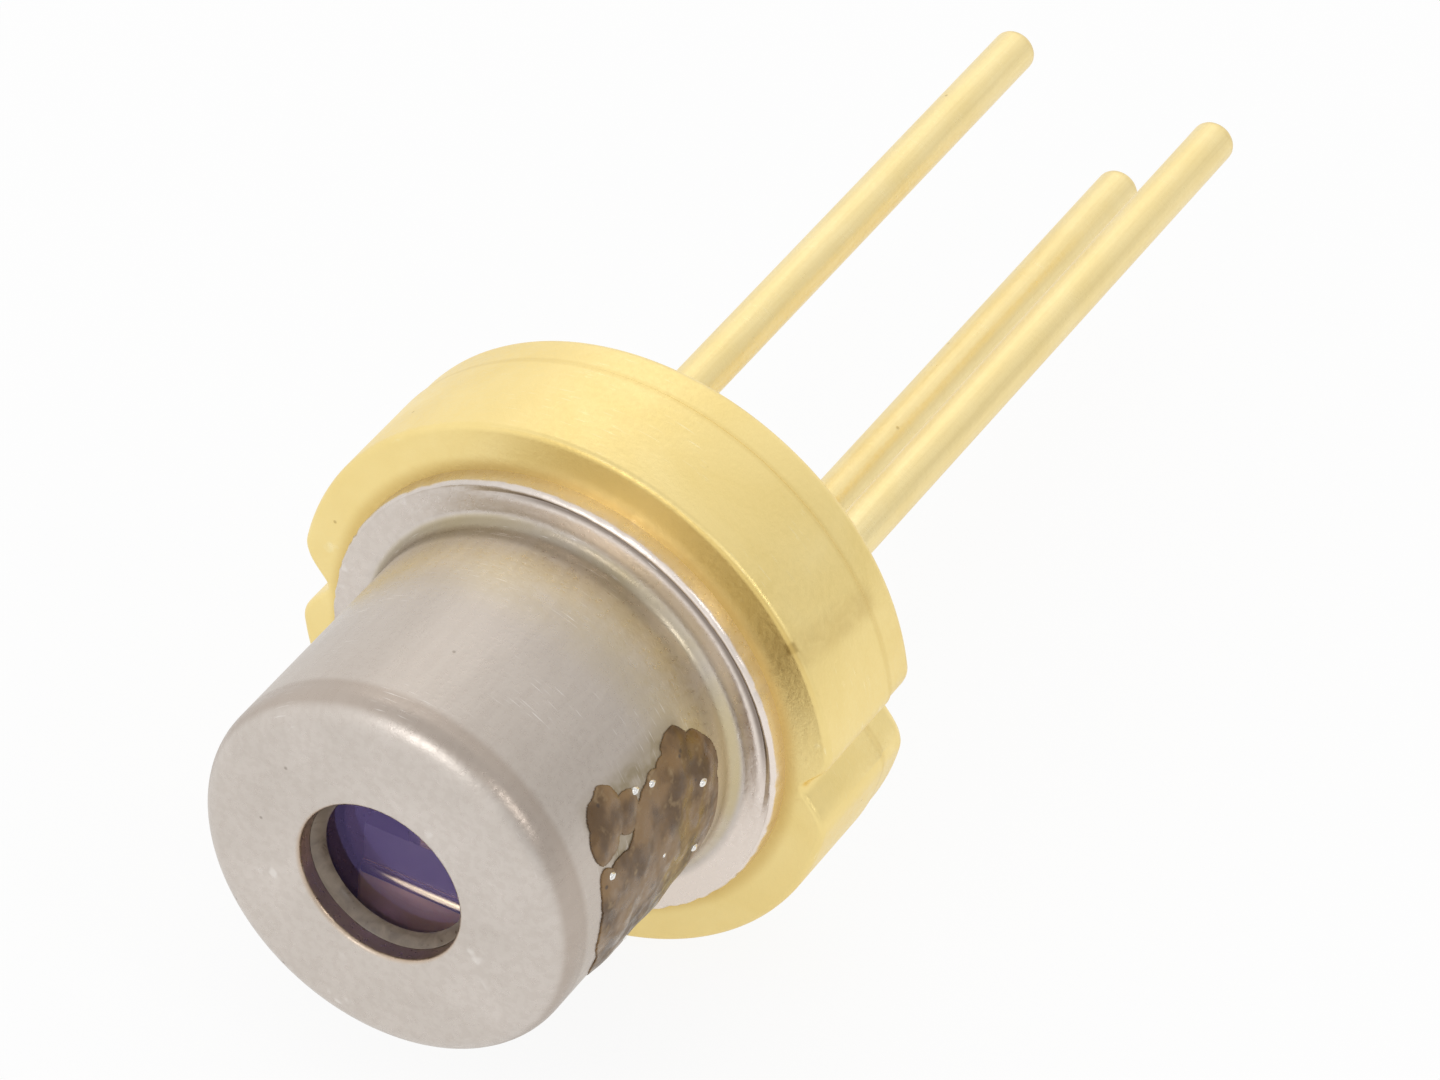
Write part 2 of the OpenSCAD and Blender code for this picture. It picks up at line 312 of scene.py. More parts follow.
def make_cap():
    bore_r = BARREL_R - CAP_WALL
    face_inside = CAP_FACE_T - CAP_H
    flange_top = -FLANGE_T
    burr_y = flange_top - 0.012
    rings = [
        (0, bore_r), (face_inside, bore_r), (face_inside, APERTURE_R), (-CAP_H, APERTURE_R),
        (-CAP_H, BARREL_R), (flange_top, BARREL_R), (flange_top, FLANGE_GROOVE_R - 0.04),
        (flange_top + FLANGE_GROOVE_DEPTH, FLANGE_GROOVE_R), (burr_y, FLANGE_BURR_R),
        (burr_y + 0.03, FLANGE_R), (0, FLANGE_R), (0, bore_r)]
    cap = draw_rings(rings, TURN_POINTS)
    weld(cap)
    round_ring(cap, face_inside, bore_r, 0.04, 3)
    round_ring(cap, -CAP_H, APERTURE_R, 0.035, 4)
    round_ring(cap, -CAP_H, BARREL_R, CAP_CORNER_R, 14)
    round_ring(cap, flange_top, BARREL_R, 0.09, 8)
    round_ring(cap, flange_top, FLANGE_GROOVE_R - 0.04, 0.025, 3)
    round_ring(cap, flange_top + FLANGE_GROOVE_DEPTH, FLANGE_GROOVE_R, 0.008, 2)
    round_ring(cap, burr_y, FLANGE_BURR_R, 0.014, 3)
    round_ring(cap, burr_y + 0.03, FLANGE_R, 0.012, 2)
    piece = finish_piece(cap, "nickel_cap")
    roughen_flange(piece)
    return piece


def roughen_flange(cap):
    """Gives the welded rim its lumpy edge, and lets the groove run out on one side."""
    for vertex in cap.data.vertices:
        at = vertex.co / MM
        radius = math.hypot(at.x, at.z)
        clock = math.degrees(math.atan2(at.z, at.x))
        fade = min(max((abs(clock - 54) - 38) / 25, 0), 1)
        if radius > FLANGE_GROOVE_R - 0.08 and -0.16 < at.y < -0.02:
            flat_y = -FLANGE_T if radius < FLANGE_BURR_R + 0.005 else at.y
            at.y += (flat_y - at.y) * fade
            vertex.co = at * MM
        reach = min(max((radius - FLANGE_GROOVE_R) / (FLANGE_R - FLANGE_GROOVE_R), 0), 1)
        if reach <= 0 or at.y > -0.02:
            continue
        along = Vector((at.x, 0.3 * at.y, at.z))
        lump = noise.noise(along * 9) + 0.9 * noise.noise(along * 24)
        grow = 1 + reach * 0.008 * min(lump, 0)
        vertex.co = Vector((at.x * grow, at.y - reach * 0.008 * lump, at.z * grow)) * MM


# --- Window and its solder glass ---------------------------------------------------------

def make_window():
    rings = [(WINDOW_FRONT, WINDOW_R), (WINDOW_BACK, WINDOW_R)]
    pane = draw_rings([(-y, r) for y, r in rings], 128)
    close_end(pane, -WINDOW_FRONT, WINDOW_R)
    close_end(pane, -WINDOW_BACK, WINDOW_R)
    return finish_piece(pane, "coated_window")


def make_frit():
    face_inside = CAP_FACE_T - CAP_H
    bead_r = APERTURE_R - FRIT_BEAD_W
    low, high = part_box("window_frit")
    rings = [
        (-WINDOW_FRONT, bead_r), (face_inside - 0.012, bead_r + 0.012),
        (face_inside - FRIT_BEAD_W, APERTURE_R - 0.002), (face_inside, APERTURE_R - 0.002),
        (face_inside, high.x / MM), (high.y / MM, high.x / MM), (high.y / MM, WINDOW_R),
        (-WINDOW_FRONT, WINDOW_R), (-WINDOW_FRONT, bead_r)]
    frit = draw_rings(rings, 128)
    weld(frit)
    return finish_piece(frit, "window_solder_glass")


# --- Leads and their seals ---------------------------------------------------------------

def make_lead(node, name):
    """A straight wire from its post inside the can to its cropped and tumbled tip."""
    centre = lead_centre(node)
    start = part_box(node)[0].y / MM
    lead = draw_rings([(start, LEAD_R), (LEAD_TIP, LEAD_R)], 64, centre)
    close_end(lead, start, LEAD_R, centre)
    close_end(lead, LEAD_TIP, LEAD_R, centre)
    round_ring(lead, LEAD_TIP, LEAD_R, 0.07, 6, centre)
    round_ring(lead, start, LEAD_R, 0.02, 3, centre)
    return finish_piece(lead, name)


def make_laser_lead():
    lead = make_lead("laser_lead", "gilded_laser_lead")
    x, z = lead_centre("laser_lead")
    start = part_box("laser_lead")[0].y / MM
    clear_selection()
    bpy.ops.mesh.primitive_cube_add(
        size=1, scale=(4 * LEAD_R * MM, 2 * POST_FLAT_LEN * MM, LEAD_R * MM),
        location=(x * MM, start * MM, (z + LEAD_R - POST_FLAT_DEPTH + LEAD_R / 2) * MM))
    cut_away(lead, bpy.context.object)
    return finish_piece(lead, "gilded_laser_lead")


def make_common_lead():
    """The lead with a nail head, brazed flat to the back of the stem."""
    centre = lead_centre("common_lead")
    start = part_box("common_lead")[0].y / MM
    head_back = start + HEAD_T
    lead = draw_rings(
        [(start, HEAD_R), (head_back, HEAD_R), (head_back, LEAD_R), (LEAD_TIP, LEAD_R)],
        64, centre)
    close_end(lead, start, HEAD_R, centre)
    close_end(lead, LEAD_TIP, LEAD_R, centre)
    round_ring(lead, LEAD_TIP, LEAD_R, 0.07, 6, centre)
    round_ring(lead, head_back, HEAD_R, 0.025, 3, centre)
    round_ring(lead, head_back, LEAD_R, 0.03, 4, centre)
    return finish_piece(lead, "gilded_common_lead")


def make_seal(node, name):
    centre = lead_centre(node)
    meniscus = 0.05
    rings = [
        (0, LEAD_R), (0, SEAL_R), (STEM_T, SEAL_R), (STEM_T - meniscus, SEAL_R - 0.03),
        (STEM_T - meniscus, LEAD_R + 0.03), (STEM_T, LEAD_R), (0, LEAD_R)]
    seal = draw_rings(rings, 64, centre)
    weld(seal)
    round_ring(seal, STEM_T - meniscus, LEAD_R + 0.03, 0.02, 3, centre)
    return finish_piece(seal, name)


# --- Heat sink inside the can ------------------------------------------------------------

SINK_EDGE = 0.05


def make_heat_sink():
    """A block with a round back, cut from bar, its front edges broken."""
    low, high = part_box("heat_sink")
    front, back, top = low.y / MM, high.y / MM, high.z / MM
    clear_selection()
    bpy.ops.mesh.primitive_cylinder_add(
        vertices=192, radius=-low.z, depth=(back - front) * MM,
        location=(0, (front + back) / 2 * MM, 0), rotation=(math.pi / 2, 0, 0))
    block = bpy.context.object
    for at, size in (((0, 0, top + 1), (4, 4, 2)), ((high.x / MM + 1, 0, 0), (2, 4, 4)),
                     ((low.x / MM - 1, 0, 0), (2, 4, 4))):
        clear_selection()
        bpy.ops.mesh.primitive_cube_add(
            size=1, location=Vector(at) * MM, scale=Vector(size) * MM)
        cut_away(block, bpy.context.object)
    clear_selection()
    block.select_set(True)
    bpy.context.view_layer.objects.active = block
    for edge in block.data.edges:
        ends = [block.matrix_world @ block.data.vertices[i].co / MM for i in edge.vertices]
        edge.select = all(abs(end.y - front) < 0.004 and end.z > top - 0.004
                          for end in ends)
    bpy.ops.object.mode_set(mode="EDIT")
    bpy.ops.mesh.select_mode(type="EDGE")
    bpy.ops.mesh.bevel(offset=SINK_EDGE * MM, segments=3, affect="EDGES")
    return finish_piece(block, "flashed_heat_sink")


def heat_sink_material():
    """Copper under a thin gold flash; the broken front edge is metallic and glossier, and painted
    pale as a highlight.
    """
    low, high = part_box("heat_sink")
    material, tree, shader, at = new_material("gold flashed copper")
    split = put(tree, "ShaderNodeSeparateXYZ", Vector=at)
    edge = use(tree, "band", Value=split.outputs[2], From=high.z / MM - SINK_EDGE,
               To=high.z / MM, Blur=0.012)
    front = use(tree, "band", Value=split.outputs[1], From=low.y / MM,
                To=low.y / MM + SINK_EDGE, Blur=0.01)
    # Painted highlight: the broken front edge is painted pale, and is also metallic and glossier.
    highlight_patch = maths(tree, "MULTIPLY", edge.outputs["Mask"], front.outputs["Mask"])
    grain = use(tree, "grain", Vector=at, Scale=30.0)
    cloud = use(tree, "mottle", Vector=at, Scale=2.5, Contrast=1.6)
    tone = mix_colour(tree, cloud.outputs["Tone"], srgb(255, 190, 138),
                      srgb(255, 222, 172))
    tone = mix_colour(tree, maths(tree, "MULTIPLY", grain.outputs["Tone"], 0.25), tone,
                      srgb(255, 226, 190))
    tone = mix_colour(tree, highlight_patch, tone, srgb(255, 240, 214))
    feed(tree, shader, "Base Color", tone)
    feed(tree, shader, "Metallic", highlight_patch)
    feed(tree, shader, "Roughness", maths(tree, "SUBTRACT", 0.5, maths(
        tree, "MULTIPLY", highlight_patch, 0.25)))
    bump(tree, shader, grain.outputs["Height"], 0.3, 0.006)
    return material


# --- Baked residue on the cap ------------------------------------------------------------

# Lobes of the residue on the barrel: clock angle from +X towards +Z in degrees, place
# along Y in mm, half width round the barrel and along it in mm, and thickness in mm
RESIDUE_LOBES = [
    (-2, -0.88, 0.62, 0.56, 0.024),
    (14, -0.62, 0.30, 0.30, 0.018),
    (-6, -1.36, 0.42, 0.36, 0.020),
    (24, -0.66, 0.17, 0.15, 0.034),
    (21, -0.52, 0.14, 0.13, 0.028),
    (12, -0.50, 0.20, 0.14, 0.032),
    (16, -0.78, 0.26, 0.20, 0.038),
    (2, -0.56, 0.30, 0.20, 0.036),
    (2, -0.88, 0.36, 0.27, 0.042),
    (-14, -0.60, 0.26, 0.24, 0.036),
    (-12, -1.02, 0.40, 0.30, 0.040),
    (4, -1.22, 0.28, 0.26, 0.038),
    (6, -1.46, 0.20, 0.20, 0.034),
    (-12, -1.42, 0.38, 0.26, 0.036),
    (-24, -0.86, 0.24, 0.26, 0.034),
    (-24, -1.26, 0.26, 0.28, 0.032),
    (28, -1.46, 0.15, 0.15, 0.032),
    (23, -1.54, 0.13, 0.12, 0.028),
    (24, -1.28, 0.12, 0.12, 0.022),
    (10, -1.58, 0.12, 0.08, 0.022),
]
RESIDUE_STEP = 0.008


def residue_height(clock, y):
    """Thickness of the residue at a clock angle and place along the barrel, in mm."""
    around = math.radians(clock) * BARREL_R
    ragged = Vector((around * 4, y * 4, 2.0))
    da = 0.045 * noise.noise(ragged) + 0.02 * noise.noise(ragged * 3)
    dy = 0.045 * noise.noise(ragged + Vector((7, 3, 1)))
    pile = 0
    for lobe_clock, lobe_y, half_around, half_along, thick in RESIDUE_LOBES:
        a = (around - math.radians(lobe_clock) * BARREL_R + da) / half_around
        b = (y - lobe_y + dy) / half_along
        inside = max(1 - a * a - b * b, 0)
        pile += (thick * inside) ** 2
    lumps = Vector((around * 5, y * 5, 5.0))
    blister = 0.8 + 0.32 * noise.noise(lumps) + 0.07 * noise.noise(lumps * 2.6)
    return 0.8 * math.sqrt(pile) * blister


def make_residue():
    """A thin bumpy skin on the barrel, closed and open only where no lobe lies."""
    around_mm = math.radians(76) * BARREL_R
    along_mm = 1.75
    clear_selection()
    bpy.ops.mesh.primitive_grid_add(
        x_subdivisions=int(around_mm / RESIDUE_STEP), y_subdivisions=int(along_mm / RESIDUE_STEP),
        size=1, enter_editmode=True)
    skin = bpy.context.object
    bpy.ops.mesh.select_all(action="DESELECT")
    bpy.ops.object.mode_set(mode="OBJECT")
    heights = {}
    for vertex in skin.data.vertices:
        clock = 0 + vertex.co.x * 76
        y = -0.95 + vertex.co.y * along_mm
        height = residue_height(clock, y)
        heights[vertex.index] = height
        reach = (BARREL_R - 0.004 + height) * MM
        turn = math.radians(clock)
        vertex.co = Vector((reach * math.cos(turn), y * MM, reach * math.sin(turn)))
    for face in skin.data.polygons:
        face.select = all(heights[i] <= 0 for i in face.vertices)
    bpy.ops.object.mode_set(mode="EDIT")
    bpy.ops.mesh.select_mode(type="FACE")
    bpy.ops.mesh.delete(type="FACE")
    bpy.ops.mesh.select_all(action="SELECT")
    bpy.ops.mesh.extrude_region_shrink_fatten(
        TRANSFORM_OT_shrink_fatten={"value": -0.012 * MM})
    piece = finish_piece(skin, "baked_residue", smooth=False)
    piece.select_set(True)
    bpy.ops.object.shade_smooth()
    return piece


# Near-white beads in the residue that stand in for its glints, as painted highlights: clock,
# place along Y and radius in mm
GLINT_BEADS = [(26.5, -1.14, 0.026), (24.0, -0.98, 0.024), (11.5, -0.54, 0.026),
          (-9.5, -0.60, 0.024), (12.5, -1.58, 0.024), (2.0, -1.02, 0.014),
          (-20.0, -1.30, 0.018)]


def make_glint_beads():
    """Flattened beads that sit in the crust, bright enough to be painted glints."""
    beads = []
    for clock, y, radius in GLINT_BEADS:
        turn = math.radians(clock)
        reach = BARREL_R + residue_height(clock, y) + 0.1 * radius
        clear_selection()
        bpy.ops.mesh.primitive_uv_sphere_add(
            segments=24, ring_count=16, radius=radius * MM,
            location=(reach * math.cos(turn) * MM, y * MM, reach * math.sin(turn) * MM))
        bead = bpy.context.object
        bead.scale = (1, 1.35, 0.9)
        for vertex in bead.data.vertices:
            vertex.co *= 1 + 0.18 * noise.noise(vertex.co / radius / MM * 1.3)
        beads.append(bead)
    clear_selection()
    for bead in beads:
        bead.select_set(True)
    bpy.context.view_layer.objects.active = beads[0]
    bpy.ops.object.join()
    return finish_piece(beads[0], "glint_beads")


# --- Materials ---------------------------------------------------------------------------

def srgb(red, green, blue):
    """A screen colour, 0 to 255, as the linear colour that a shader takes."""
    def linear(value):
        value /= 255
        return value / 12.92 if value <= 0.04045 else ((value + 0.055) / 1.055) ** 2.4
    return (linear(red), linear(green), linear(blue), 1)


def new_group(name, inputs, outputs):
    """A shader node group with its sockets, and its input and output nodes."""
    group = bpy.data.node_groups.new(name, "ShaderNodeTree")
    kinds = {"value": "NodeSocketFloat", "vector": "NodeSocketVector",
             "colour": "NodeSocketColor"}
    for socket, kind, default in inputs:
        made = group.interface.new_socket(name=socket, in_out="INPUT",
                                          socket_type=kinds[kind])
        if default is not None:
            made.default_value = default
    for socket, kind in outputs:
        group.interface.new_socket(name=socket, in_out="OUTPUT", socket_type=kinds[kind])
    return group, group.nodes.new("NodeGroupInput"), group.nodes.new("NodeGroupOutput")


def put(tree, kind, settings=None, **values):
    """Adds a node; values are its inputs by name, as constants or as other sockets."""
    node = tree.nodes.new(kind)
    for key, value in (settings or {}).items():
        setattr(node, key, value)
    for key, value in values.items():
        wire(tree, node, key.replace("_", " "), value)
    return node


def wire(tree, node, socket, value):
    if isinstance(socket, str) and socket.startswith("input "):
        socket = int(socket[6:])
    if isinstance(value, bpy.types.NodeSocket):
        tree.links.new(value, node.inputs[socket])
    else:
        node.inputs[socket].default_value = value


def maths(tree, operation, first, second=0.0, clamp=False):
    node = put(tree, "ShaderNodeMath", {"operation": operation, "use_clamp": clamp},
               input_0=first, input_1=second)
    return node.outputs[0]


def spread(tree, value, low, high, to_low=0.0, to_high=1.0):
    """Maps a range of a value onto another range, held at its ends."""
    node = put(tree, "ShaderNodeMapRange", {"interpolation_type": "SMOOTHSTEP"},
               Value=value, From_Min=low, From_Max=high, To_Min=to_low, To_Max=to_high)
    return node.outputs["Result"]


def mix_colour(tree, factor, first, second, blend="MIX"):
    node = tree.nodes.new("ShaderNodeMix")
    node.data_type = "RGBA"
    node.blend_type = blend
    for index, value in ((0, factor), (6, first), (7, second)):
        if isinstance(value, bpy.types.NodeSocket):
            tree.links.new(value, node.inputs[index])
        else:
            node.inputs[index].default_value = value
    return node.outputs[2]


def build_turned_place():
    """Splits a place in mm into its distance along the beam, its radius and its clock."""
    tree, into, out = new_group(
        "Turned place", [("Vector", "vector", None)],
        [("Along", "value"), ("Radius", "value"), ("Clock", "value")])
    split = put(tree, "ShaderNodeSeparateXYZ", Vector=into.outputs["Vector"])
    x, y, z = split.outputs
    square = maths(tree, "ADD", maths(tree, "MULTIPLY", x, x), maths(tree, "MULTIPLY", z, z))
    tree.links.new(y, out.inputs["Along"])
    tree.links.new(maths(tree, "SQRT", square), out.inputs["Radius"])
    clock = maths(tree, "MULTIPLY", maths(tree, "ARCTAN2", z, x), math.degrees(1))
    tree.links.new(clock, out.inputs["Clock"])
    return tree


def build_band():
    """1 where a value lies between From and To, falling to 0 over Blur outside them."""
    tree, into, out = new_group(
        "Band", [("Value", "value", 0.0), ("From", "value", 0.0), ("To", "value", 1.0),
                 ("Blur", "value", 0.1)], [("Mask", "value")])
    value, low, high, blur = [into.outputs[n] for n in ("Value", "From", "To", "Blur")]
    rise = maths(tree, "DIVIDE", maths(tree, "SUBTRACT", value,
                                       maths(tree, "SUBTRACT", low, blur)), blur)
    fall = maths(tree, "DIVIDE", maths(tree, "SUBTRACT",
                                       maths(tree, "ADD", high, blur), value), blur)
    inside = maths(tree, "MINIMUM", rise, fall)
    tree.links.new(spread(tree, inside, 0, 1), out.inputs["Mask"])
    return tree


def build_satin_grain():
    """The fine matt grain of a plated surface, as a height and as a tone."""
    tree, into, out = new_group(
        "Satin grain", [("Vector", "vector", None), ("Scale", "value", 30.0),
                        ("Detail", "value", 4.0)],
        [("Height", "value"), ("Tone", "value")])
    vector, scale = into.outputs["Vector"], into.outputs["Scale"]
    coarse = put(tree, "ShaderNodeTexNoise", Vector=vector, Scale=scale,
                 Detail=into.outputs["Detail"], Roughness=0.6)
    fine = put(tree, "ShaderNodeTexNoise", Vector=vector, Detail=3.0, Roughness=0.7,
               Scale=maths(tree, "MULTIPLY", scale, 3.7))
    height = maths(tree, "ADD", maths(tree, "MULTIPLY", coarse.outputs["Fac"], 0.7),
                   maths(tree, "MULTIPLY", fine.outputs["Fac"], 0.3))
    tree.links.new(height, out.inputs["Height"])
    tree.links.new(spread(tree, height, 0.38, 0.62), out.inputs["Tone"])
    return tree


def build_mottle():
    """Broad uneven tone, as plating and handling leave it."""
    tree, into, out = new_group(
        "Mottle", [("Vector", "vector", None), ("Scale", "value", 1.5),
                   ("Contrast", "value", 0.5)], [("Tone", "value")])
    cloud = put(tree, "ShaderNodeTexNoise", Vector=into.outputs["Vector"],
                Scale=into.outputs["Scale"], Detail=4.0, Roughness=0.55, Distortion=0.6)
    centred = maths(tree, "SUBTRACT", cloud.outputs["Fac"], 0.5)
    tone = maths(tree, "ADD", maths(tree, "MULTIPLY", centred, into.outputs["Contrast"]),
                 0.5, clamp=True)
    tree.links.new(tone, out.inputs["Tone"])
    return tree


def build_rub_marks():
    """Fine rubbed lines and small dents that handling leaves on a soft plating."""
    tree, into, out = new_group(
        "Rub marks", [("Vector", "vector", None), ("Scale", "value", 6.0),
                      ("Amount", "value", 0.5)], [("Mask", "value")])
    lines = None
    for turn, stretch in ((0.5, 14), (2.1, 20)):
        turned = put(tree, "ShaderNodeMapping", Vector=into.outputs["Vector"],
                     Rotation=(turn, 0.3 * turn, turn), Scale=(1, stretch, 1))
        streak = put(tree, "ShaderNodeTexNoise", Vector=turned.outputs[0],
                     Scale=into.outputs["Scale"], Detail=2.0, Roughness=0.5)
        line = spread(tree, streak.outputs["Fac"], 0.66, 0.74)
        lines = line if lines is None else maths(tree, "MAXIMUM", lines, line)
    patches = put(tree, "ShaderNodeTexNoise", Vector=into.outputs["Vector"], Detail=1.0,
                  Scale=maths(tree, "MULTIPLY", into.outputs["Scale"], 0.35))
    where = spread(tree, patches.outputs["Fac"], 0.48, 0.62)
    mask = maths(tree, "MULTIPLY", maths(tree, "MULTIPLY", lines, where),
                 into.outputs["Amount"])
    tree.links.new(mask, out.inputs["Mask"])
    return tree


def build_pits():
    """Scattered small pits and specks."""
    tree, into, out = new_group(
        "Pits", [("Vector", "vector", None), ("Scale", "value", 8.0),
                 ("Size", "value", 0.1), ("Share", "value", 0.3)], [("Mask", "value")])
    cells = put(tree, "ShaderNodeTexVoronoi", {"feature": "F1"},
                Vector=into.outputs["Vector"], Scale=into.outputs["Scale"])
    size = into.outputs["Size"]
    dot = put(tree, "ShaderNodeMapRange", {"interpolation_type": "SMOOTHSTEP"},
              Value=cells.outputs["Distance"], From_Min=size,
              From_Max=maths(tree, "MULTIPLY", size, 0.4), To_Min=0.0, To_Max=1.0)
    split = put(tree, "ShaderNodeSeparateColor", Color=cells.outputs["Color"])
    chosen = maths(tree, "LESS_THAN", split.outputs[0], into.outputs["Share"])
    tree.links.new(maths(tree, "MULTIPLY", dot.outputs["Result"], chosen),
                   out.inputs["Mask"])
    return tree


GROUPS = {
    "place": build_turned_place(), "band": build_band(), "grain": build_satin_grain(),
    "mottle": build_mottle(), "rubs": build_rub_marks(), "pits": build_pits()}


def use(tree, group, **values):
    """Places one of the shared effects in a material."""
    node = tree.nodes.new("ShaderNodeGroup")
    node.node_tree = GROUPS[group]
    for key, value in values.items():
        wire(tree, node, key.replace("_", " "), value)
    return node


def stain(tree, clock, along, clocks, places, clock_blur, blur):
    """A soft patch between two clock angles and two places along the barrel."""
    around = use(tree, "band", Value=clock, From=clocks[0], To=clocks[1], Blur=clock_blur)
    lengthways = use(tree, "band", Value=along, From=places[0], To=places[1], Blur=blur)
    return maths(tree, "MULTIPLY", around.outputs["Mask"], lengthways.outputs["Mask"])


def new_material(name, **constants):
    """A material with one Principled shader; constants are set on its own sockets."""
    material = bpy.data.materials.new(name)
    material.use_nodes = True
    tree = material.node_tree
    shader = tree.nodes["Principled BSDF"]
    for key, value in constants.items():
        shader.inputs[key.replace("_", " ")].default_value = value
    place = tree.nodes.new("ShaderNodeTexCoord")
    to_mm = put(tree, "ShaderNodeMapping", Vector=place.outputs["Object"],
                Scale=(1000, 1000, 1000))
    return material, tree, shader, to_mm.outputs[0]


def bump(tree, shader, height, strength, distance):
    """Feeds a height in mm-sized detail to the shader's normal."""
    node = put(tree, "ShaderNodeBump", Height=height, Strength=strength,
               Distance=distance * MM)
    tree.links.new(node.outputs["Normal"], shader.inputs["Normal"])


def feed(tree, shader, socket, value):
    tree.links.new(value, shader.inputs[socket])


def gold_material(name, light, shade, grain_scale=26.0, rough=(0.30, 0.44)):
    """Satin gold plating: uneven tone, a fine grain, rubbed lines and a few pits."""
    material, tree, shader, at = new_material(name, Metallic=1.0)
    grain = use(tree, "grain", Vector=at, Scale=grain_scale)
    cloud = use(tree, "mottle", Vector=at, Scale=1.4, Contrast=1.6)
    marks = use(tree, "rubs", Vector=at, Scale=5.0, Amount=0.6)
    specks = use(tree, "pits", Vector=at, Scale=6.0, Size=0.10, Share=0.10)
    tone = mix_colour(tree, cloud.outputs["Tone"], shade, light)
    tone = mix_colour(tree, maths(tree, "MULTIPLY", grain.outputs["Tone"], 0.22), tone,
                      light)
    tone = mix_colour(tree, marks.outputs["Mask"], tone, srgb(255, 240, 190))
    tone = mix_colour(tree, maths(tree, "MULTIPLY", specks.outputs["Mask"], 0.45), tone,
                      srgb(160, 128, 62))
    feed(tree, shader, "Base Color", tone)
    matt = maths(tree, "ADD", maths(tree, "MULTIPLY", grain.outputs["Tone"],
                                    rough[1] - rough[0]), rough[0])
    matt = maths(tree, "SUBTRACT", matt, maths(tree, "MULTIPLY", marks.outputs["Mask"],
                                               0.12))
    feed(tree, shader, "Roughness", matt)
    height = maths(tree, "SUBTRACT", grain.outputs["Height"],
                   maths(tree, "MULTIPLY", specks.outputs["Mask"], 0.6))
    bump(tree, shader, height, 0.35, 0.012)
    return material, tree, shader, at, tone


def stem_material():
    material, tree, shader, at, tone = gold_material(
        "gilded stem", srgb(255, 233, 166), srgb(243, 217, 141))
    place = use(tree, "place", Vector=at)
    # Painted shade: a darker line on the rim where its radius steps down.
    step_shade_band = use(tree, "band", Value=place.outputs["Along"], From=RIM_LEN - 0.01,
               To=RIM_LEN + 0.03, Blur=0.03)
    on_rim = spread(tree, place.outputs["Radius"], 1.6, 1.75)
    line = maths(tree, "MULTIPLY", step_shade_band.outputs["Mask"], on_rim)
    tone = mix_colour(tree, maths(tree, "MULTIPLY", line, 0.18), tone, srgb(205, 172, 92))
    # Painted reflection: the front face is warmer and darker round the cap's flange, as gold
    # mirrored in gold.
    near_weld = use(tree, "band", Value=place.outputs["Radius"], From=1.50, To=1.60,
                    Blur=0.10)
    front = use(tree, "band", Value=place.outputs["Along"], From=-0.02, To=0.01, Blur=0.01)
    flange_reflection_tint = maths(tree, "MULTIPLY", near_weld.outputs["Mask"], front.outputs["Mask"])
    tone = mix_colour(tree, maths(tree, "MULTIPLY", flange_reflection_tint, 0.55), tone,
                      srgb(208, 172, 94))
    clock, along = place.outputs["Clock"], place.outputs["Along"]
    # Painted shade: a small dark spot on the front edge, the shade of a nick.
    at_edge = spread(tree, place.outputs["Radius"], 1.80, 1.86)
    nick_shade = maths(tree, "MULTIPLY", stain(tree, clock, along, (33.6, 34.8), (-0.01, 0.02),
                                         0.9, 0.02), at_edge)
    tone = mix_colour(tree, maths(tree, "MULTIPLY", nick_shade, 0.6), tone,
                      srgb(142, 112, 52))
    # Painted shade: the front face is darker just inside its edge, from 40 to 88 degrees round
    # from +X
    inside = use(tree, "band", Value=place.outputs["Radius"], From=1.72, To=1.90,
                 Blur=0.10)
    edge_shade = maths(tree, "MULTIPLY", stain(tree, clock, along, (40, 88), (-0.02, 0.01),
                                          28, 0.01), inside.outputs["Mask"])
    tone = mix_colour(tree, maths(tree, "MULTIPLY", edge_shade, 0.55), tone,
                      srgb(216, 184, 104))
    # Painted shade: a faint dark band runs back from the nick across the rim
    slant = maths(tree, "ADD", clock, maths(tree, "MULTIPLY", along, 4.0))
    rim_shade_band = maths(tree, "MULTIPLY", stain(tree, slant, along, (31.5, 34.5), (0.0, 0.80),
                                          3.5, 0.10), on_rim)
    uneven = use(tree, "mottle", Vector=at, Scale=5.0, Contrast=2.0)
    rim_shade_band = maths(tree, "MULTIPLY", rim_shade_band, uneven.outputs["Tone"])
    tone = mix_colour(tree, maths(tree, "MULTIPLY", rim_shade_band, 0.5), tone,
                      srgb(206, 176, 108))
    feed(tree, shader, "Base Color", tone)
    return material


def lead_material():
    """Gold plating on drawn wire: faint die lines run along it."""
    material, tree, shader, at, tone = gold_material(
        "gilded leads", srgb(255, 236, 180), srgb(248, 224, 156), 34.0, (0.28, 0.40))
    drawn = put(tree, "ShaderNodeMapping", Vector=at, Scale=(1, 0.03, 1))
    lines = put(tree, "ShaderNodeTexNoise", Vector=drawn.outputs[0], Scale=42.0,
                Detail=3.0, Roughness=0.6)
    streak = spread(tree, lines.outputs["Fac"], 0.40, 0.62)
    tone = mix_colour(tree, maths(tree, "MULTIPLY", streak, 0.14), tone,
                      srgb(230, 202, 130))
    place = use(tree, "place", Vector=at)
    cropped = spread(tree, place.outputs["Along"], LEAD_TIP - 0.10, LEAD_TIP - 0.01)
    tone = mix_colour(tree, maths(tree, "MULTIPLY", cropped, 0.45), tone,
                      srgb(214, 184, 110))
    feed(tree, shader, "Base Color", tone)
    return material


